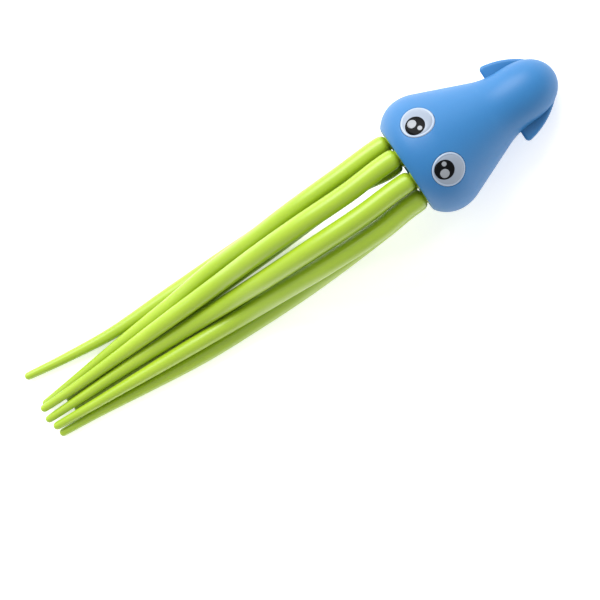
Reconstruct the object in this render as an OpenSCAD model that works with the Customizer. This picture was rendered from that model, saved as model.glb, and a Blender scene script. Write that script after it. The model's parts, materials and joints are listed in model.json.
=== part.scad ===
/* [Head] */
// Length of the head along its axis, from the open base to the nose
head_len = 83.2; // [80:0.2:88]
// Radius of the head at its widest bulge
bulge_r = 29.8; // [28:0.1:32]
// Distance from the base to the widest bulge
bulge_x = 13.5; // [12.5:0.5:15]
// Radius of the slim mantle between the fins
mantle_r = 14.6; // [13.8:0.1:15.4]
// Wall of both head shells
wall = 2.2; // [1.8:0.1:2.6]
// Nose-down pitch of the head when it lies on its bulge and its nose
pitch = 16.2; // [15:0.1:17]

/* [Fins] */
// Largest half-width over the two fins
fin_half_w = 21.5; // [19:0.1:23]
// Distance from the base to the square lower end of the fins
fin_start = 54.4; // [52:0.1:57]
// Thickness of the fins
fin_t = 3; // [2:0.1:4]

/* [Eyes] */
// Radius of the white of the eye
eye_r = 8.15; // [7:0.05:8.2]
// Distance from the base to the centre of each eye
eye_x = 16; // [15.5:0.5:17.5]
// Angle of each eye from the front of the head, round the head's axis
eye_angle = 27.5; // [24:0.5:30]
// Radius of the pupil
pupil_r = 4.8; // [4:0.05:5]

/* [Tentacle roots] */
// Radius of the ring that the eight tentacles are set on
ring_r = 16.5; // [16.4:0.05:16.6]
// Radius of the ball at the end of each root
ball_r = 4; // [3.8:0.05:4.05]
// Clearance between a ball and its seat
ball_gap = 0.2; // [0.1:0.05:0.25]
// Radius of the neck between the ball and the tentacle
neck_r = 1.8; // [1.5:0.1:1.9]
// Distance from the centre of the ball to the centre of the round shoulder
shoulder = 8.3; // [8.2:0.1:8.8]

/* [Tentacles] */
// Sides of a tentacle's section
sides = 12; // [8:2:16]
// Distance between the sections along a tentacle
pace = 8; // [6:1:12]

/* [Nose weight] */
// Radius of the steel slug
slug_r = 9; // [7:0.5:9.5]
// Length of the steel slug
slug_len = 30; // [26:1:30]

/* [Hidden] */
$fn = 64;
count = 8;
tentacle_names = [for (k = [1 : count]) str("tentacle_", k)];
blue = "#5a96d2";
deep_blue = "#2a5a96";
green = "#b2d044";
steel = "#9a9ca0";
tiny = 0.01;
// How far a cut runs past the face it cuts, and a cut that clears a domed face.
over = 1;
clear_cut = 10;
over_dome = 3;
dome_steps = 96;
// Turn from the face side to the root of the first tentacle, round the head's axis.
first_turn = 67.5;

// Outline of the head: a bulge, a straight flank, a hollow into the mantle and a rounded nose.
base_arc = 16.1;
flank_arc = 20.8;
hollow_arc = 36;
flank_angle = 22.9;
both_arcs = flank_arc + hollow_arc;
nose_x = bulge_x + (bulge_r - mantle_r - both_arcs * (1 - cos(flank_angle))) / tan(flank_angle)
         + both_arcs * sin(flank_angle);
flank_x1 = bulge_x + flank_arc * sin(flank_angle);
flank_x2 = nose_x - hollow_arc * sin(flank_angle);
nose_power = 2.5;

// Radius of the head at the distance x from its base.
function head_r(x) =
    x < bulge_x ? bulge_r - base_arc + sqrt(pow(base_arc, 2) - pow(bulge_x - x, 2))
    : x < flank_x1 ? bulge_r - flank_arc + sqrt(pow(flank_arc, 2) - pow(x - bulge_x, 2))
    : x < flank_x2 ? bulge_r - flank_arc * (1 - cos(flank_angle)) - (x - flank_x1) * tan(flank_angle)
    : x < nose_x ? mantle_r + hollow_arc - sqrt(pow(hollow_arc, 2) - pow(nose_x - x, 2))
    : mantle_r * sqrt(max(0, 1 - pow((x - nose_x) / (head_len - nose_x), nose_power)));

// Stations along the head, closer together where the nose rounds off.
flank_steps = 22;
nose_steps = 12;
stations = concat([for (i = [0 : flank_steps - 1]) nose_x * i / flank_steps],
                  [for (i = [0 : nose_steps]) nose_x + (head_len - nose_x) * sin(90 * i / nose_steps)]);
outer_line = [for (x = stations) [head_r(x), x]];
function head_slope(x) = (head_r(min(x + 0.05, head_len)) - head_r(max(x - 0.05, 0))) / 0.1;
inner_stations = [for (x = stations) if (x < head_len - wall) x];
inner_line = [for (x = inner_stations)
              let (lean = atan(head_slope(x)))
              [max(0, head_r(x) - wall * cos(lean)), x + wall * sin(lean)]];
eye_lean = -atan(head_slope(eye_x));
outer_solid_line = concat([[0, 0]], outer_line);

// Outline of a fin: a square lower end with a rounded corner, and an arc that runs into the nose.
fin_arc = 38.6;
fin_arc_x = 50.2;
fin_corner = 2;
fin_end = 75.6;
fin_steps = 10;
corner_turns = [0, 22.5, 45, 67.5];
function fin_edge(x) = fin_half_w - fin_arc + sqrt(pow(fin_arc, 2) - pow(x - fin_arc_x, 2));
corner_x = fin_start + fin_corner;
corner_line = [for (a = corner_turns)
               [corner_x - fin_corner * cos(a), fin_edge(corner_x) - fin_corner * (1 - sin(a))]];
edge_line = [for (i = [0 : fin_steps])
             let (x = corner_x + (fin_end - corner_x) * i / fin_steps)
             [x, fin_edge(x)]];
fin_line = concat([[fin_start, 0]], corner_line, edge_line, [[fin_end, 0]]);

// Where the head lies: its axis is pitched, and its lowest point is on the ground.
head_h = max([for (p = outer_line) p[1] * sin(pitch) + p[0] * cos(pitch)]);
nose_reach = max([for (p = outer_line) p[1] * cos(pitch) + p[0] * sin(pitch)]);

// Base and clamp plates along the head's axis.
rim = 0.8;
base_plate_t = 3.2;
clamp_plate_t = 3.5;
plate_r = 21.8;
plate_gap = 0.1;
plate_play = 0.2;
lip = 0.9;
stop_in = 2.3;
stop_t = 1.8;
pivot_x = 2.5;
clamp_x = rim + base_plate_t;
clamp_end = clamp_x + clamp_plate_t;
seat_r = ball_r + ball_gap;
screws = 4;
screw_ring = 8;
screw_r = 1.2;
screw_head_r = 2.4;
screw_head_t = 1.6;
screw_bite = 2.4;
screw_play = 0.25;

// Steel slug and the two ribs that hold it.
slug_x = 40;
slug_end = slug_x + slug_len;
slug_edge = 1;
rib_len = 6;
rib_stop = 1.6;
rib_bore = 5;

// Eyes, in a frame with its origin on the head's skin and +Z along the skin's normal.
eye_dome = 24;
eye_proud = 0.35;
eye_deep = 2.6;
stem_r = 2;
stem_len = 3.4;
boss_r = 9.2;
boss_bottom = 4.6;
boss_t = 2.2;
pupil_back = 1.9;
pupil_in = 1.5;
pupil_deep = 0.9;
pupil_proud = 0.1;
clip_r = 4.5;
clip_t = 1.2;
fit = 0.05;

// Tentacles lie away from the head. Each has its place across and its height at these distances.
reach = [25, 55, 85, 115, 145, 180, 210];
across = [[14.7, 15, 15.6, 16.6, 15, 14.3, 13.1, 12.1],
          [5.4, 6.5, 7.9, 8.9, 9.1, 9.3, 9.6, 10.1],
          [-7, -5.9, -3.8, -1.1, 1, 2.8, 3.7, 4.4],
          [-16.8, -15.6, -12.8, -10.1, -7.8, -5.1, -2.7, -0.7],
          [-16.4, -17.1, -16.5, -15.4, -14, -10.5, -7, -4.9],
          [-6.7, -5.7, -3.7, -2.8, -3, -1.5, 0.4, 1.1],
          [8.6, 9.4, 9.5, 9.1, 8.3, 7.9, 7.6, 7.4],
          [15.4, 16.2, 17.4, 19, 20, 21.3, 25, 28.5]];
height = [[43.5, 40, 28, 15.9, 11.6, 6.5, 3, 2.1],
          [52, 48.5, 37, 22.8, 17.9, 12, 8.1, 6.7],
          [52, 48, 35, 19, 12.3, 9.1, 6.9, 5.3],
          [43.5, 39.5, 27, 13.6, 11.8, 9.5, 7.4, 5.2],
          [30.5, 25, 12.5, 5.7, 4.2, 3.3, 2.6, 2.1],
          [21.5, 14, 5.9, 4.7, 4.2, 3.3, 2.6, 2.3],
          [21.5, 14, 5.9, 4.7, 4.2, 3.3, 2.6, 2.3],
          [30.5, 25, 12.5, 5.7, 4.2, 3.3, 2.6, 2.1]];
tip_reach = [231.5, 232, 233.5, 232, 232.5, 218, 219, 231.5];
thick_at = [0, 62, 108, 153, 188, 233.5];
thick = [4.8, 4.8, 4.45, 3.85, 2.95, 1.95];

// The whole toy is centred on its own box.
tip_r = thick[len(thick) - 1];
widest = across[count - 1][len(reach)] + tip_r;
shift_x = (max(tip_reach) + tip_r - nose_reach) / 2;
shift_y = (bulge_r - widest) / 2;

// Smooth curve through the values v at the places p, with the slope m0 at its first place.
function knot_slope(p, v, i, m0) =
    i == 0 ? m0
    : i == len(p) - 1 ? (v[i] - v[i - 1]) / (p[i] - p[i - 1])
    : (v[i + 1] - v[i - 1]) / (p[i + 1] - p[i - 1]);
function knot(p, s) = max([0, for (i = [1 : len(p) - 2]) if (p[i] <= s) i]);
function curve(p, v, s, m0) =
    let (i = knot(p, s), w = p[i + 1] - p[i], t = (s - p[i]) / w,
         a = knot_slope(p, v, i, m0) * w, b = knot_slope(p, v, i + 1, m0) * w)
    v[i] * (2 * pow(t, 3) - 3 * pow(t, 2) + 1) + a * (pow(t, 3) - 2 * pow(t, 2) + t)
    + v[i + 1] * (3 * pow(t, 2) - 2 * pow(t, 3)) + b * (pow(t, 3) - pow(t, 2));

// The ball centre and the shoulder centre of tentacle k, measured from the middle of the head's base.
function ring_angle(k) = first_turn - 360 / count * k;
function on_axis(x, k) = [x * cos(pitch) + ring_r * cos(ring_angle(k)) * sin(pitch),
                          ring_r * sin(ring_angle(k)),
                          head_h - x * sin(pitch) + ring_r * cos(ring_angle(k)) * cos(pitch)];
function ball_at(k) = on_axis(pivot_x, k);
function shoulder_at(k) = on_axis(pivot_x - shoulder, k);

function places(k) = concat([-shoulder_at(k)[0]], reach, [tip_reach[k]]);
function ys(k) = concat([shoulder_at(k)[1]], across[k]);
function zs(k) = concat([shoulder_at(k)[2]], height[k]);
function spine(k, s) = [-s, curve(places(k), ys(k), s, 0), curve(places(k), zs(k), s, tan(pitch))];
function unit(v) = v / norm(v);
function heading(k, s) =
    let (p = places(k), a = max(p[0], s - 0.2), b = min(p[len(p) - 1], s + 0.2))
    unit(spine(k, b) - spine(k, a));
function girth(s) = curve(thick_at, thick, s, 0);

// One section of a tentacle: a ring of points round the point c, square to the heading h.
function ring(c, h, r) =
    let (u = unit(cross([0, 0, 1], h)), w = cross(h, u))
    [for (i = [0 : sides - 1]) let (a = 360 * i / sides) c + r * (cos(a) * u + sin(a) * w)];
end_turns = [22, 45, 68];
function tentacle_rings(k) =
    let (p = places(k), s0 = p[0], s1 = p[len(p) - 1], n = ceil((s1 - s0) / pace),
         h0 = heading(k, s0), h1 = heading(k, s1), r0 = girth(s0), r1 = girth(s1))
    concat([for (a = end_turns) ring(spine(k, s0) - r0 * cos(a) * h0, h0, r0 * sin(a))],
           [for (i = [0 : n]) let (s = s0 + (s1 - s0) * i / n) ring(spine(k, s), heading(k, s), girth(s))],
           [for (a = end_turns) ring(spine(k, s1) + r1 * sin(a) * h1, h1, r1 * cos(a))]);

module place_head() {
    translate([shift_x, shift_y, head_h])
        rotate([0, pitch, 0])
            children();
}

// Turns a profile of [radius, distance from the base] round the head's axis.
module turn() {
    rotate([0, 90, 0])
        rotate_extrude()
            children();
}

module disc(x0, x1, r) {
    translate([x0, 0, 0])
        rotate([0, 90, 0])
            cylinder(r = r, h = x1 - x0);
}

module head_outside() {
    turn() polygon(outer_solid_line);
}

// The room inside the head, with the groove for the plates and the two ribs for the slug.
module head_inside() {
    turn() difference() {
        union() {
            intersection() {
                polygon(concat([[0, 0]], inner_line, [[0, head_len - wall]]));
                translate([0, clamp_end + plate_gap]) square([bulge_r, head_len]);
            }
            translate([0, -tiny]) square([plate_r - lip, rim + 2 * tiny]);
            translate([0, rim]) square([plate_r + plate_play, clamp_end + plate_gap - rim + tiny]);
        }
        translate([plate_r - stop_in, clamp_end + plate_gap]) square([bulge_r, stop_t]);
        translate([slug_r + fit, slug_x - rib_stop]) square([bulge_r, rib_len + rib_stop]);
        translate([rib_bore, slug_x - rib_stop]) square([bulge_r, rib_stop]);
        translate([slug_r + fit, slug_end - rib_len]) square([bulge_r, rib_len + rib_stop]);
        translate([rib_bore, slug_end]) square([bulge_r, rib_stop]);
    }
}

// Half of the space round the head: side 1 is the face side, side -1 the back.
module half(side) {
    reach_out = bulge_r + over;
    translate([-over, -reach_out, side > 0 ? 0 : -reach_out])
        cube([head_len + 2 * over, 2 * reach_out, reach_out]);
}

module fins() {
    for (side = [0, 1])
        mirror([0, side, 0])
            translate([0, 0, -fin_t])
                linear_extrude(fin_t)
                    polygon(fin_line);
}

// Side 1 is the left eye, side -1 the right.
module place_eye(side) {
    place_head()
        rotate([-side * eye_angle, 0, 0])
            translate([eye_x, 0, head_r(eye_x)])
                rotate([0, eye_lean, 0])
                    children();
}

module domed(r, bottom, proud) {
    intersection() {
        translate([0, 0, -bottom]) cylinder(r = r, h = bottom + over_dome);
        translate([0, 0, proud - eye_dome]) sphere(r = eye_dome, $fn = dome_steps);
    }
}

module front_shell() {
    color(blue)
        difference() {
            union() {
                place_head()
                    intersection() {
                        difference() {
                            head_outside();
                            head_inside();
                        }
                        half(1);
                    }
                for (side = [1, -1])
                    place_eye(side)
                        translate([0, 0, -boss_bottom])
                            cylinder(r = boss_r, h = boss_t);
            }
            for (side = [1, -1])
                place_eye(side) {
                    translate([0, 0, -eye_deep - fit]) cylinder(r = eye_r + fit, h = clear_cut);
                    translate([0, 0, -boss_bottom - over]) cylinder(r = stem_r + fit, h = boss_bottom);
                }
        }
}

module back_shell() {
    color(blue)
        place_head()
            difference() {
                union() {
                    intersection() {
                        head_outside();
                        half(-1);
                    }
                    fins();
                }
                head_inside();
            }
}

module on_ring(r, n, first) {
    for (i = [0 : n - 1])
        rotate([first + 360 / n * i, 0, 0])
            translate([0, 0, r])
                children();
}

module seats() {
    on_ring(ring_r, count, -first_turn)
        translate([pivot_x, 0, 0])
            sphere(r = seat_r);
}

module base_plate() {
    color(deep_blue)
        place_head()
            difference() {
                disc(rim, clamp_x, plate_r);
                seats();
                on_ring(ring_r, count, -first_turn) disc(pivot_x, clamp_x + over, seat_r);
                on_ring(screw_ring, screws, 0)
                    disc(clamp_x - screw_bite - fit, clamp_x + over, screw_r + fit);
            }
}

module clamp_plate() {
    color(deep_blue)
        place_head()
            difference() {
                disc(clamp_x, clamp_end, plate_r);
                seats();
                on_ring(screw_ring, screws, 0) disc(clamp_x - over, clamp_end + over, screw_r + screw_play);
            }
}

module plate_screws() {
    color(steel)
        place_head()
            on_ring(screw_ring, screws, 0) {
                disc(clamp_x - screw_bite, clamp_end + tiny, screw_r);
                disc(clamp_end, clamp_end + screw_head_t, screw_head_r);
            }
}

module nose_weight() {
    color(steel)
        place_head()
            turn()
                polygon([[0, slug_x], [slug_r - slug_edge, slug_x], [slug_r, slug_x + slug_edge],
                         [slug_r, slug_end - slug_edge], [slug_r - slug_edge, slug_end], [0, slug_end]]);
}

module eye_white(side) {
    color("white")
        place_eye(side) {
            difference() {
                domed(eye_r, eye_deep, eye_proud);
                translate([-pupil_back, -side * pupil_in, -pupil_deep - fit])
                    cylinder(r = pupil_r + fit, h = clear_cut);
            }
            translate([0, 0, -eye_deep - stem_len]) cylinder(r = stem_r, h = stem_len + tiny);
        }
}

module pupil(side) {
    color("black")
        place_eye(side)
            intersection() {
                translate([-pupil_back, -side * pupil_in, -pupil_deep])
                    cylinder(r = pupil_r, h = pupil_deep + over_dome);
                translate([0, 0, eye_proud + pupil_proud - eye_dome])
                    sphere(r = eye_dome, $fn = dome_steps);
            }
}

module eye_clip(side) {
    color(steel)
        place_eye(side)
            translate([0, 0, -boss_bottom - clip_t])
                difference() {
                    cylinder(r = clip_r, h = clip_t);
                    translate([0, 0, -over]) cylinder(r = stem_r, h = clip_t + 2 * over);
                }
}

// A tapered tentacle with a round shoulder and tip, and the neck and ball that hold it in the plates.
module tentacle(k) {
    rings = tentacle_rings(k);
    n = len(rings);
    p = places(k);
    s0 = p[0];
    s1 = p[len(p) - 1];
    first = spine(k, s0) - girth(s0) * heading(k, s0);
    last = spine(k, s1) + girth(s1) * heading(k, s1);
    points = concat([first], [for (r = rings, q = r) q], [last]);
    faces = concat(
        [for (i = [0 : sides - 1]) [0, 1 + i, 1 + (i + 1) % sides]],
        [for (j = [0 : n - 2], i = [0 : sides - 1])
         let (a = 1 + j * sides, b = a + sides, c = (i + 1) % sides)
         each [[a + i, b + i, a + c], [a + c, b + i, b + c]]],
        [for (i = [0 : sides - 1])
         [1 + n * sides, 1 + (n - 1) * sides + (i + 1) % sides, 1 + (n - 1) * sides + i]]);
    color(green)
        translate([shift_x, shift_y, 0]) {
            polyhedron(points, faces);
            translate(ball_at(k)) {
                sphere(r = ball_r);
                rotate([0, pitch - 90, 0]) cylinder(r = neck_r, h = shoulder);
            }
        }
}

front_shell();
back_shell();
base_plate();
clamp_plate();
plate_screws();
nose_weight();
eye_white(1);  // eye_white_left
eye_white(-1);  // eye_white_right
pupil(1);  // pupil_left
pupil(-1);  // pupil_right
eye_clip(1);  // eye_clip_left
eye_clip(-1);  // eye_clip_right
for (k = [0 : count - 1])
    tentacle(k);
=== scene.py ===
"""Squid dive toy: a satin blue head with fins and eyes, and eight glossy green rubber tentacles."""

import json
import math

import bmesh
import bpy
from mathutils import Matrix, Vector

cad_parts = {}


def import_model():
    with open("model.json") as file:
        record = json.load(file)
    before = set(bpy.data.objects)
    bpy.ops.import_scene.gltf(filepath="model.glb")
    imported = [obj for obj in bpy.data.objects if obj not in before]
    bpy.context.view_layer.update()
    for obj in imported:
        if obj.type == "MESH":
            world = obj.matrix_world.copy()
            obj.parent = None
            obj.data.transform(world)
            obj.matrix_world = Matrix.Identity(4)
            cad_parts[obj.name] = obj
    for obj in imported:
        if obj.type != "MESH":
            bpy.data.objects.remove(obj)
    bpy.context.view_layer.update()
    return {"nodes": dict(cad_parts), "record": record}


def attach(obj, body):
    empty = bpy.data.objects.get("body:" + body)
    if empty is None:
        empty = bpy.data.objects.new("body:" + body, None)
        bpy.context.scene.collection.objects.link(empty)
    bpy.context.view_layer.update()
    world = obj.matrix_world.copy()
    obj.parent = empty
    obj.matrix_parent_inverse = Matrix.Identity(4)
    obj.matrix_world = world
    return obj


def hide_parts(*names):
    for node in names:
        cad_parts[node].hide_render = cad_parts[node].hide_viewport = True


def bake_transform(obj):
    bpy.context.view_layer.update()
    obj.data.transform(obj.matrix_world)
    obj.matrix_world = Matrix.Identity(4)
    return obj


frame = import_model()
MM = 0.001


# ---------------------------------------------------------------- the frame of the head

HINGES = {j["child"]: j for j in frame["record"]["behaviour"]["joints"]}
TENTACLES = sorted(HINGES)
PITCH = math.radians(16.2)
PIVOT_X = 2.5 * MM
SHOULDER = 8.3 * MM
NECK_R = 1.8 * MM
BALL_R = 4.0 * MM

AXIS = Vector((math.cos(PITCH), 0, -math.sin(PITCH)))
SIDE = Vector((0, 1, 0))
FACE = Vector((math.sin(PITCH), 0, math.cos(PITCH)))
BALLS = {name: Vector(HINGES[name]["pos_m"]) for name in TENTACLES}
BASE = sum(BALLS.values(), Vector()) / len(BALLS) - AXIS * PIVOT_X
HEAD = Matrix((
    (AXIS.x, SIDE.x, FACE.x, BASE.x),
    (AXIS.y, SIDE.y, FACE.y, BASE.y),
    (AXIS.z, SIDE.z, FACE.z, BASE.z),
    (0, 0, 0, 1),
))


# ---------------------------------------------------------------- outline of the head, in mm

HEAD_LEN = 83.2
BULGE_R, BULGE_X = 29.8, 13.5
MANTLE_R = 14.6
BASE_ARC, FLANK_ARC, HOLLOW_ARC = 16.1, 20.8, 36.0
FLANK = math.radians(22.9)
NOSE_POWER = 2.5
WALL = 2.2
NOSE_X = (BULGE_X + (BULGE_R - MANTLE_R - (FLANK_ARC + HOLLOW_ARC) * (1 - math.cos(FLANK))) / math.tan(FLANK)
          + (FLANK_ARC + HOLLOW_ARC) * math.sin(FLANK))
FLANK_X1 = BULGE_X + FLANK_ARC * math.sin(FLANK)
FLANK_X2 = NOSE_X - HOLLOW_ARC * math.sin(FLANK)


def head_r(x):
    """Radius of the head, in mm, at x mm from its base."""
    if x < BULGE_X:
        return BULGE_R - BASE_ARC + math.sqrt(BASE_ARC**2 - (BULGE_X - x) ** 2)
    if x < FLANK_X1:
        return BULGE_R - FLANK_ARC + math.sqrt(FLANK_ARC**2 - (x - BULGE_X) ** 2)
    if x < FLANK_X2:
        return BULGE_R - FLANK_ARC * (1 - math.cos(FLANK)) - (x - FLANK_X1) * math.tan(FLANK)
    if x < NOSE_X:
        return MANTLE_R + HOLLOW_ARC - math.sqrt(HOLLOW_ARC**2 - (NOSE_X - x) ** 2)
    return MANTLE_R * math.sqrt(max(0.0, 1 - ((x - NOSE_X) / (HEAD_LEN - NOSE_X)) ** NOSE_POWER))


def head_normal(x):
    """(along the axis, outwards) of the skin's normal at x."""
    step = 0.02
    a, b = max(x - step, 0), min(x + step, HEAD_LEN)
    slope = (head_r(b) - head_r(a)) / (b - a)
    size = math.hypot(1, slope)
    return -slope / size, 1 / size


def head_point(x, r, turn):
    """A point in the row frame from mm along the axis, mm of radius, and the turn from the face side."""
    return HEAD @ (Vector((x, r * math.sin(turn), r * math.cos(turn))) * MM)


# ---------------------------------------------------------------- mesh helpers


def make(name, points, faces, material):
    mesh = bpy.data.meshes.new(name)
    mesh.from_pydata([tuple(p) for p in points], [], faces)
    mesh.validate()
    for f in mesh.polygons:
        f.use_smooth = True
    obj = bpy.data.objects.new(name, mesh)
    bpy.context.scene.collection.objects.link(obj)
    obj.data.materials.append(material)
    return obj


def outward(obj):
    """Turns every face outwards."""
    bm = bmesh.new()
    bm.from_mesh(obj.data)
    bmesh.ops.remove_doubles(bm, verts=bm.verts, dist=1e-7)
    bmesh.ops.recalc_face_normals(bm, faces=bm.faces)
    bm.to_mesh(obj.data)
    bm.free()
    return obj


def apply(obj):
    """Makes the object's modifiers part of its mesh."""
    graph = bpy.context.evaluated_depsgraph_get()
    mesh = bpy.data.meshes.new_from_object(obj.evaluated_get(graph))
    obj.modifiers.clear()
    obj.data = mesh
    return obj


def tube(rings, first, last):
    """Points and faces of a closed tube through rings of points, with a point at each end."""
    n = len(rings[0])
    points = [first] + [p for ring in rings for p in ring] + [last]
    faces = [(0, 1 + (i + 1) % n, 1 + i) for i in range(n)]
    for j in range(len(rings) - 1):
        for i in range(n):
            a, b, k = 1 + j * n, 1 + (j + 1) * n, (i + 1) % n
            faces.append((a + i, a + k, b + k, b + i))
    end = 1 + (len(rings) - 1) * n
    faces += [(len(points) - 1, end + i, end + (i + 1) % n) for i in range(n)]
    return points, faces


# ---------------------------------------------------------------- materials


def shader(name):
    material = bpy.data.materials.new(name)
    material.use_nodes = True
    nodes, links = material.node_tree.nodes, material.node_tree.links
    return material, nodes, links, nodes["Principled BSDF"]


def noise(nodes, links, scale, detail=3.0):
    where = nodes.new("ShaderNodeTexCoord")
    made = nodes.new("ShaderNodeTexNoise")
    made.inputs["Scale"].default_value = scale
    made.inputs["Detail"].default_value = detail
    links.new(where.outputs["Object"], made.inputs["Vector"])
    return made


def ramp(nodes, links, source, stops):
    made = nodes.new("ShaderNodeValToRGB")
    made.color_ramp.elements[0].position, made.color_ramp.elements[0].color = stops[0]
    made.color_ramp.elements[1].position, made.color_ramp.elements[1].color = stops[-1]
    links.new(source, made.inputs["Fac"])
    return made


def spread(nodes, links, source, low, high):
    made = nodes.new("ShaderNodeMapRange")
    made.inputs["To Min"].default_value = low
    made.inputs["To Max"].default_value = high
    links.new(source, made.inputs["Value"])
    return made


def bump(nodes, links, source, target, height, strength):
    made = nodes.new("ShaderNodeBump")
    made.inputs["Distance"].default_value = height
    made.inputs["Strength"].default_value = strength
    links.new(source, made.inputs["Height"])
    links.new(made.outputs["Normal"], target.inputs["Normal"])


DRIFT_SCALE, GLOSS_SCALE = 28.0, 160.0
GRAIN_HEIGHT, GRAIN_STRENGTH = 0.03 * MM, 0.35
COAT_ROUGHNESS, GLOW_DEPTH = 0.3, 4 * MM


def moulded(name, dark, light, rough, subsurface=0.0, coat=0.0, specular=0.5, grain=1400.0, glow=(1, 1, 1)):
    """Moulded plastic or rubber: a faint drift of colour, an uneven gloss and a fine skin."""
    material, nodes, links, face = shader(name)
    drift = noise(nodes, links, DRIFT_SCALE)
    colour = ramp(nodes, links, drift.outputs["Fac"], [(0.3, (*dark, 1)), (0.7, (*light, 1))])
    links.new(colour.outputs["Color"], face.inputs["Base Color"])
    gloss = noise(nodes, links, GLOSS_SCALE, 5.0)
    uneven = spread(nodes, links, gloss.outputs["Fac"], rough[0], rough[1])
    links.new(uneven.outputs["Result"], face.inputs["Roughness"])
    skin = noise(nodes, links, grain, 2.0)
    bump(nodes, links, skin.outputs["Fac"], face, GRAIN_HEIGHT, GRAIN_STRENGTH)
    face.inputs["Specular IOR Level"].default_value = specular
    face.inputs["Coat Weight"].default_value = coat
    face.inputs["Coat Roughness"].default_value = COAT_ROUGHNESS
    face.inputs["Subsurface Weight"].default_value = subsurface
    face.inputs["Subsurface Radius"].default_value = glow
    face.inputs["Subsurface Scale"].default_value = GLOW_DEPTH
    return material


BLUE = moulded("satin_blue", (0.006, 0.142, 0.375), (0.010, 0.158, 0.405), (0.48, 0.56),
               subsurface=0.05, coat=0.12, specular=0.6, glow=(0.3, 0.6, 1.0))
# a near-black copy of the head's blue: painted shade for the recessed base under the head
SHADED_BLUE = moulded("deep_blue", (0.006, 0.028, 0.085), (0.010, 0.040, 0.110), (0.45, 0.6))
GREEN = moulded("lime_rubber", (0.320, 0.475, 0.014), (0.360, 0.515, 0.020), (0.32, 0.42),
                subsurface=0.2, coat=0.4, grain=900.0, glow=(0.8, 1.0, 0.25))
EYE = moulded("eye_white", (0.255, 0.305, 0.385), (0.285, 0.335, 0.415), (0.25, 0.35), coat=0.2)
# a paler copy of the eye white for its raised rim: painted highlight where the rim catches the light
RIM_HIGHLIGHT = moulded("eye_rim_painted_highlight", (0.33, 0.41, 0.53), (0.36, 0.44, 0.56), (0.25, 0.35), coat=0.2)
BLACK = moulded("eye_black", (0.003, 0.0035, 0.004), (0.006, 0.0065, 0.008), (0.3, 0.4), specular=0.06)
PRINT = moulded("eye_print", (0.25, 0.27, 0.30), (0.30, 0.32, 0.35), (0.3, 0.4))
STEEL = moulded("plain_steel", (0.45, 0.46, 0.48), (0.55, 0.56, 0.58), (0.3, 0.45))
STEEL.node_tree.nodes["Principled BSDF"].inputs["Metallic"].default_value = 1.0


# ---------------------------------------------------------------- head shells

SEAM = 0.25
LIP = [(0.9, 21.0), (0.3, 21.05), (0.06, 21.3), (0.0, 21.7)]


def skins():
    """Matching stations of the outer and the inner skin: lists of (mm along the axis, radius in mm)."""
    stations = [NOSE_X * i / 150 for i in range(150)]
    stations += [NOSE_X + (HEAD_LEN - NOSE_X) * math.sin(math.pi / 2 * i / 50) for i in range(51)]
    outer = [(x, head_r(x)) for x in stations]
    outer[0] = (0.12, outer[0][1] - 0.12)
    inner = []
    for x in stations:
        if x < NOSE_X:
            along, out = head_normal(x)
            inner.append((max(x - WALL * along, 1.0), head_r(x) - WALL * out))
        else:
            share = (x - NOSE_X) / (HEAD_LEN - NOSE_X)
            inner_x = NOSE_X + share * (HEAD_LEN - WALL - NOSE_X)
            inner.append((inner_x, head_r(x) * (MANTLE_R - WALL) / MANTLE_R))
    return outer, inner


def half_head(name, first_turn):
    """Half of the head as a closed shell, with a fine groove where it meets the other half."""
    turns = 160
    outer, inner = skins()
    profile = [(x, r, 0.02) for x, r in reversed(inner)] + [(x, r, 0.02) for x, r in LIP]
    profile += [(x, r, SEAM) for x, r in outer]
    points, faces = [], []
    for x, r, gap in profile:
        edge = min(gap / max(r, 0.5), 0.3)
        for i in range(turns + 1):
            points.append(head_point(x, r, first_turn + edge + (math.pi - 2 * edge) * i / turns))
    wide = turns + 1
    for j in range(len(profile) - 1):
        for i in range(turns):
            faces.append((j * wide + i, j * wide + i + 1, (j + 1) * wide + i + 1, (j + 1) * wide + i))
    n, last = len(inner), len(profile) - 1
    for side in (0, turns):
        faces.append(tuple(j * wide + side for j in range(n - 1, n + len(LIP) + 1)))
        for j in range(n - 1):
            rows = (j, j + 1, last - j - 1, last - j)
            faces.append(tuple(row * wide + side for row in rows))
    return outward(make(name, points, faces, BLUE))


def combine(obj, other, operation):
    """Makes a boolean of the two meshes, and removes the other one."""
    step = obj.modifiers.new(operation.lower(), "BOOLEAN")
    step.operation = operation
    step.solver = "EXACT"
    step.object = other
    apply(obj)
    bpy.data.objects.remove(other)
    for f in obj.data.polygons:
        f.use_smooth = True


front = half_head("front_shell_skin", -math.pi / 2)
back = half_head("back_shell_skin", math.pi / 2)


# ---------------------------------------------------------------- fins

FIN_HALF_W, FIN_START, FIN_END = 21.5, 54.4, 76.5
FIN_ARC, FIN_ARC_X, FIN_CORNER = 38.6, 50.2, 2.0
FIN_ROUND, FIN_VALLEY = 1.5, 0.3


def fin_edge(x):
    """Half-width over the fins at x, with the rounded corner at their lower end."""
    corner = FIN_START + FIN_CORNER
    edge = FIN_HALF_W - FIN_ARC + math.sqrt(FIN_ARC**2 - (max(x, corner) - FIN_ARC_X) ** 2)
    return edge - FIN_CORNER + math.sqrt(FIN_CORNER**2 - max(corner - x, 0) ** 2)


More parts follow.
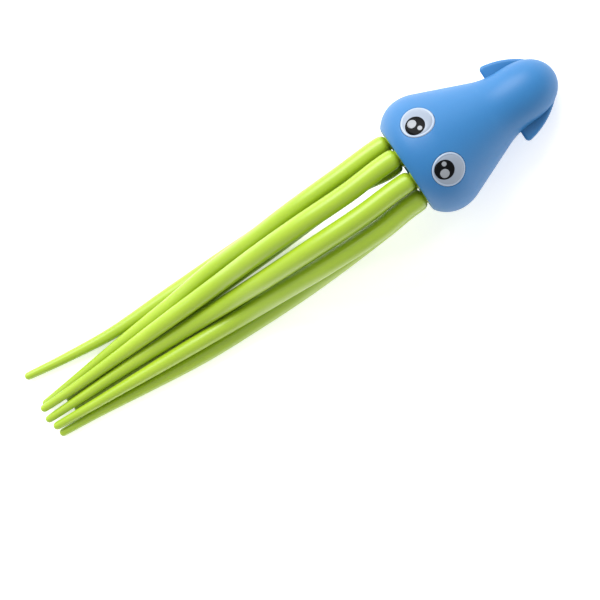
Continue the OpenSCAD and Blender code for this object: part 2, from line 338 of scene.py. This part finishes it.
def fin(name, side):
    """A flap with a thick rounded edge, a shallow valley beside the mantle and a rounded lower end."""
    rings = []
    ends = [FIN_START + FIN_ROUND * (1 - math.cos(math.pi / 2 * i / 9)) for i in range(1, 9)]
    for x in ends + [FIN_START + FIN_ROUND + (FIN_END - FIN_START - FIN_ROUND) * i / 50 for i in range(51)]:
        inside = max(FIN_START + FIN_ROUND - x, 0)
        half = math.sqrt(FIN_ROUND**2 - inside**2)
        edge, root = fin_edge(x), head_r(x) - 1.2
        root = min(root, edge - half - 0.05)
        line = []
        for i in range(13):
            share = i / 12
            y = root + (edge - half - root) * share
            dip = FIN_VALLEY * (0.5 + 0.5 * math.cos(math.pi * share)) * min((edge - half - root) / 5, 1)
            line.append((y, half - dip * half / FIN_ROUND))
        for i in range(1, 12):
            a = math.radians(90 - 180 * i / 12)
            line.append((edge - half + half * math.cos(a), half * math.sin(a)))
        for i in range(7):
            line.append((edge - half + (root - edge + half) * i / 6, -half))
        rings.append([HEAD @ (Vector((x, side * y, z - FIN_ROUND)) * MM) for y, z in line])
    first = sum(rings[0], Vector()) / len(rings[0]) - AXIS * 0.02 * MM
    last = sum(rings[-1], Vector()) / len(rings[-1]) + AXIS * 0.1 * MM
    points, faces = tube(rings, first, last)
    return outward(make(name, points, faces, BLUE))


for fin_side, fin_name in ((1, "fin_left"), (-1, "fin_right")):
    combine(back, fin(fin_name, fin_side), "UNION")


# ---------------------------------------------------------------- eyes

EYE_R, EYE_X, EYE_TURN = 8.15, 16.0, math.radians(27.5)
EYE_DEEP, SOCKET_GAP = 2.3, 0.2
PUPIL_R, PUPIL_BACK, PUPIL_IN = 4.8, 1.9, 1.5


def eye_frame(side):
    """The middle of the eye on the skin, and its own directions: to the nose, outwards and along the normal."""
    along, out = head_normal(EYE_X)
    turn = side * EYE_TURN
    radial = SIDE * math.sin(turn) + FACE * math.cos(turn)
    normal = AXIS * along + radial * out
    forward = AXIS * out - radial * along
    return head_point(EYE_X, head_r(EYE_X), turn), forward, side * normal.cross(forward), normal


def on_skin(side, f, o, lift):
    """The point lift mm over the head's skin, f mm forward and o mm outwards of the middle of the eye."""
    place, forward, outwards, normal = eye_frame(side)
    inverse = HEAD.inverted()
    start = place + (forward * f + outwards * o) * MM
    depth = 0.0
    for _ in range(20):
        local = (inverse @ (start - normal * depth * MM)) / MM
        depth += math.hypot(local.y, local.z) - head_r(min(max(local.x, 0), HEAD_LEN))
    return start - normal * (depth - lift) * MM


def eye_disc(name, side, f0, o0, radius, profile, deep, material, highlight_rim=None):
    """A disc that follows the head's skin. Its profile is a list of (share of the radius, lift in mm)."""
    normal = eye_frame(side)[3]
    sides = 84
    rings = []
    for share, lift in profile:
        ring = []
        for i in range(sides):
            a = 2 * math.pi * i / sides
            f, o = f0 + radius * share * math.cos(a), o0 + radius * share * math.sin(a)
            ring.append(on_skin(side, f, o, lift))
        rings.append(ring)
    centre = on_skin(side, f0, o0, profile[0][1])
    under = centre - normal * deep * MM
    rings.append([p - normal * ((p - under).dot(normal)) for p in rings[-1]])
    points, faces = tube(rings, centre, under)
    obj = make(name, points, faces, material)
    # the outer ring gets the second, paler material: a painted highlight along the raised rim
    if highlight_rim:
        obj.data.materials.append(highlight_rim[0])
        for f in obj.data.polygons:
            offset = f.center - centre
            flat = offset - normal * offset.dot(normal)
            if flat.length > radius * highlight_rim[1] * MM:
                f.material_index = 1
    return outward(obj)


def domed(lift, edge=0.12):
    """A profile that is flat at lift and rounds off over its edge."""
    shares = [0.15, 0.35, 0.55, 0.72, 0.85, 0.92]
    rounded = [(0.96, lift - edge * 0.15), (0.985, lift - edge * 0.5), (1.0, lift - edge)]
    return [(share, lift) for share in shares] + rounded


WHITE_PROFILE = [(0.15, 0.2), (0.35, 0.2), (0.55, 0.2), (0.72, 0.19), (0.84, 0.17), (0.865, 0.08), (0.885, 0.08),
                 (0.9, 0.2), (0.925, 0.26), (0.955, 0.25), (0.98, 0.16), (1.0, -0.05)]


def socket(side):
    """The space that is cut in the shell for an eye."""
    place, forward, outwards, normal = eye_frame(side)
    rings = []
    for depth in (-EYE_DEEP - 0.05, 5.0):
        centre = place + normal * depth * MM
        rings.append([centre + (forward * math.cos(2 * math.pi * i / 96) + outwards * math.sin(2 * math.pi * i / 96))
                      * (EYE_R + SOCKET_GAP) * MM for i in range(96)])
    points, faces = tube(rings, place - normal * (EYE_DEEP + 0.05) * MM, place + normal * 5.0 * MM)
    return outward(make("socket", points, faces, BLUE))


def eye(side, word):
    combine(front, socket(side), "DIFFERENCE")
    f, o = -PUPIL_BACK, -PUPIL_IN
    white = eye_disc("eye_white_" + word + "_face", side, 0, 0, EYE_R, WHITE_PROFILE, EYE_DEEP, EYE, (RIM_HIGHLIGHT, 0.875))
    pupil = eye_disc("pupil_" + word + "_face", side, f, o, PUPIL_R, domed(0.3), 0.8, BLACK)
    big = eye_disc("big_highlight_" + word, side, f - 0.9, o + 1.45, 2.2, domed(0.34, 0.03), 0.3, PRINT)
    small = eye_disc("small_highlight_" + word, side, f + 1.2, o - 2.6, 1.15, domed(0.34, 0.03), 0.3, PRINT)
    return white, pupil, big, small


eyes = {"left": eye(1, "left"), "right": eye(-1, "right")}


# ---------------------------------------------------------------- tentacles

REACH = [25, 55, 85, 115, 145, 180, 210]
ACROSS = [
    [14.7, 15, 15.6, 16.6, 15, 14.3, 13.1, 12.1],
    [5.4, 6.5, 7.9, 8.9, 9.1, 9.3, 9.6, 10.1],
    [-7, -5.9, -3.8, -1.1, 1, 2.8, 3.7, 4.4],
    [-16.8, -15.6, -12.8, -10.1, -7.8, -5.1, -2.7, -0.7],
    [-16.4, -17.1, -16.5, -15.4, -14, -10.5, -7, -4.9],
    [-6.7, -5.7, -3.7, -2.8, -3, -1.5, 0.4, 1.1],
    [8.6, 9.4, 9.5, 9.1, 8.3, 7.9, 7.6, 7.4],
    [15.4, 16.2, 17.4, 19, 20, 21.3, 25, 28.5],
]
HEIGHT = [
    [43.5, 40, 28, 15.9, 11.6, 6.5, 3, 2.1],
    [52, 48.5, 37, 22.8, 17.9, 12, 8.1, 6.7],
    [52, 48, 35, 19, 12.3, 9.1, 6.9, 5.3],
    [43.5, 39.5, 27, 13.6, 11.8, 9.5, 7.4, 5.2],
    [30.5, 25, 12.5, 5.7, 4.2, 3.3, 2.6, 2.1],
    [21.5, 14, 5.9, 4.7, 4.2, 3.3, 2.6, 2.3],
    [21.5, 14, 5.9, 4.7, 4.2, 3.3, 2.6, 2.3],
    [30.5, 25, 12.5, 5.7, 4.2, 3.3, 2.6, 2.1],
]
TIP_REACH = [231.5, 232, 233.5, 232, 232.5, 218, 219, 231.5]
THICK_AT = [0, 62, 108, 153, 188, 233.5]
THICK = [4.8, 4.8, 4.45, 3.85, 2.95, 1.95]
SIDES, STEPS = 48, 170
ROOT_LONG, ROOT_BLUNT = 0.8, 0.6
MOULD_LINE = 0.05


def curve(places, values, s, first_slope):
    """The smooth curve through the values at the places, as the CAD has it."""

    def slope(i):
        if i == 0:
            return first_slope
        if i == len(places) - 1:
            return (values[i] - values[i - 1]) / (places[i] - places[i - 1])
        return (values[i + 1] - values[i - 1]) / (places[i + 1] - places[i - 1])

    i = max([0] + [j for j in range(1, len(places) - 1) if places[j] <= s])
    w = places[i + 1] - places[i]
    t = (s - places[i]) / w
    a, b = slope(i) * w, slope(i + 1) * w
    return (values[i] * (2 * t**3 - 3 * t**2 + 1) + a * (t**3 - 2 * t**2 + t)
            + values[i + 1] * (3 * t**2 - 2 * t**3) + b * (t**3 - t**2))


def section(centre, heading, radius, seam=0.0):
    """A ring of points round the centre. The seam stands up on its two sides, as a mould leaves it."""
    u = Vector((0, 0, 1)).cross(heading).normalized()
    w = heading.cross(u)
    ring = []
    for i in range(SIDES):
        a = 2 * math.pi * i / SIDES
        r = radius + (seam if i % (SIDES // 2) == 0 else 0)
        ring.append(centre + r * (math.cos(a) * u + math.sin(a) * w))
    return ring


def tentacle(k):
    name = TENTACLES[k]
    ball = BALLS[name]
    foot = Vector((BASE.x, BASE.y, 0))
    shoulder = (ball - AXIS * SHOULDER - foot) / MM
    places = [-shoulder.x] + REACH + [TIP_REACH[k]]
    ys = [shoulder.y] + ACROSS[k]
    zs = [shoulder.z] + HEIGHT[k]

    def spine(s):
        return foot + Vector((-s, curve(places, ys, s, 0), curve(places, zs, s, math.tan(PITCH)))) * MM

    def heading(s):
        return (spine(min(s + 0.2, places[-1])) - spine(max(s - 0.2, places[0]))).normalized()

    def girth(s):
        return curve(THICK_AT, THICK, s, 0) * MM

    s0, s1 = places[0], places[-1]
    out = -AXIS
    rings = []
    # the ball, the neck and the round shoulder
    for i in range(1, 9):
        a = math.radians(19 * i)
        rings.append(section(ball - out * BALL_R * math.cos(a), out, BALL_R * math.sin(a)))
    dome = girth(s0) + ROOT_LONG * MM
    first_turn = math.asin((NECK_R / girth(s0)) ** (1 / ROOT_BLUNT))
    neck_end = SHOULDER - dome * math.cos(first_turn) ** ROOT_BLUNT
    for along in (math.sqrt(BALL_R**2 - NECK_R**2), neck_end - 0.05 * MM):
        rings.append(section(ball + out * along, out, NECK_R))
    for i in range(1, 16):
        a = first_turn + (math.pi / 2 - first_turn) * i / 16
        along, wide = math.cos(a) ** ROOT_BLUNT, math.sin(a) ** ROOT_BLUNT
        rings.append(section(spine(s0) - out * dome * along, out, girth(s0) * wide))
    for i in range(STEPS + 1):
        s = s0 + (s1 - s0) * i / STEPS
        rings.append(section(spine(s), heading(s), girth(s), MOULD_LINE * MM))
    end = heading(s1)
    for i in range(1, 10):
        a = math.radians(90 * i / 10)
        rings.append(section(spine(s1) + end * girth(s1) * math.sin(a), end, girth(s1) * math.cos(a)))
    points, faces = tube(rings, ball - out * BALL_R, spine(s1) + end * girth(s1))
    obj = outward(make(name + "_rubber", points, faces, GREEN))
    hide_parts(name)
    tuple(spine(65))
    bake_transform(obj)


for tentacle_index in range(len(TENTACLES)):
    tentacle(tentacle_index)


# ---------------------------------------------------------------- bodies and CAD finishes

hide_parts("front_shell")
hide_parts("back_shell")
for piece in (front, back):
    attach(piece, "head")
for word, (white, pupil, big, small) in eyes.items():
    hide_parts("eye_white_" + word)
    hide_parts("pupil_" + word)
    for piece in (white, pupil, big, small):
        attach(piece, "head")

CAD_FINISH = {
    # the base and clamp plates get the darkened blue, painted shade in the recess at the head's base
    "base_plate": SHADED_BLUE,
    "clamp_plate": SHADED_BLUE,
    "plate_screws": STEEL,
    "nose_weight": STEEL,
    "eye_clip_left": STEEL,
    "eye_clip_right": STEEL,
}
for node, finish in CAD_FINISH.items():
    obj = frame["nodes"][node]
    obj.data.materials.clear()
    obj.data.materials.append(finish)


# ---------------------------------------------------------------- floor, light and camera


FLOOR_HALF, FLOOR_DROP = 3.0, 0.2 * MM
FLOOR_WHITE, FLOOR_ROUGH, FLOOR_GLOW = (0.9, 0.9, 0.9, 1), 0.9, 0.45
WORLD_STRENGTH = 0.74
KEY_PLACE, KEY_SIZE, KEY_POWER = (0.15, 0.95, 0.85), (1.8, 0.8), 25


def floor():
    half = FLOOR_HALF
    mesh = bpy.data.meshes.new("floor")
    mesh.from_pydata([(-half, -half, 0), (half, -half, 0), (half, half, 0), (-half, half, 0)], [], [(0, 1, 2, 3)])
    obj = bpy.data.objects.new("floor", mesh)
    obj.location.z = -FLOOR_DROP
    bpy.context.scene.collection.objects.link(obj)
    material, _, _, face = shader("pale_floor")
    face.inputs["Base Color"].default_value = FLOOR_WHITE
    face.inputs["Roughness"].default_value = FLOOR_ROUGH
    face.inputs["Emission Color"].default_value = (1, 1, 1, 1)
    face.inputs["Emission Strength"].default_value = FLOOR_GLOW
    obj.data.materials.append(material)


def lamp(name, place, size, power):
    """A soft rectangular light, long along X, that faces the toy."""
    light = bpy.data.lights.new(name, "AREA")
    light.shape = "RECTANGLE"
    light.size, light.size_y = size
    light.energy = power
    obj = bpy.data.objects.new(name, light)
    back = Vector(place).normalized()
    right = Vector((1, 0, 0)) - back * back.x
    right.normalize()
    up = back.cross(right)
    obj.matrix_world = Matrix((
        (right.x, up.x, back.x, place[0]),
        (right.y, up.y, back.y, place[1]),
        (right.z, up.z, back.z, place[2]),
        (0, 0, 0, 1),
    ))
    bpy.context.scene.collection.objects.link(obj)


def camera():
    """Overhead, leaning towards the nose and the toy's right, with the head rising to the upper right."""
    target = BASE + Vector((-0.080, -0.0213, -0.0012))
    distance = 1.5
    lean_nose, lean_right = math.radians(18), math.radians(4.52)
    axis_rise = math.radians(35.11)
    width, sensor = 0.287, 36
    back = Vector((math.tan(lean_nose), -math.tan(lean_right), 1)).normalized()
    ex = (Vector((1, 0, 0)) - back * back.x).normalized()
    ey = back.cross(ex)
    right = ex * math.cos(axis_rise) - ey * math.sin(axis_rise)
    up = ex * math.sin(axis_rise) + ey * math.cos(axis_rise)
    data = bpy.data.cameras.new("camera")
    data.sensor_width = sensor
    data.lens = sensor * distance / width
    data.clip_end = 20
    obj = bpy.data.objects.new("camera", data)
    place = target + back * distance
    obj.matrix_world = Matrix((
        (right.x, up.x, back.x, place.x),
        (right.y, up.y, back.y, place.y),
        (right.z, up.z, back.z, place.z),
        (0, 0, 0, 1),
    ))
    bpy.context.scene.collection.objects.link(obj)
    bpy.context.scene.camera = obj


def world():
    made = bpy.data.worlds.new("studio")
    made.use_nodes = True
    made.node_tree.nodes["Background"].inputs["Color"].default_value = (1, 1, 1, 1)
    made.node_tree.nodes["Background"].inputs["Strength"].default_value = WORLD_STRENGTH
    bpy.context.scene.world = made


floor()
world()
lamp("key", KEY_PLACE, KEY_SIZE, KEY_POWER)
camera()
bpy.context.scene.view_settings.view_transform = "Standard"
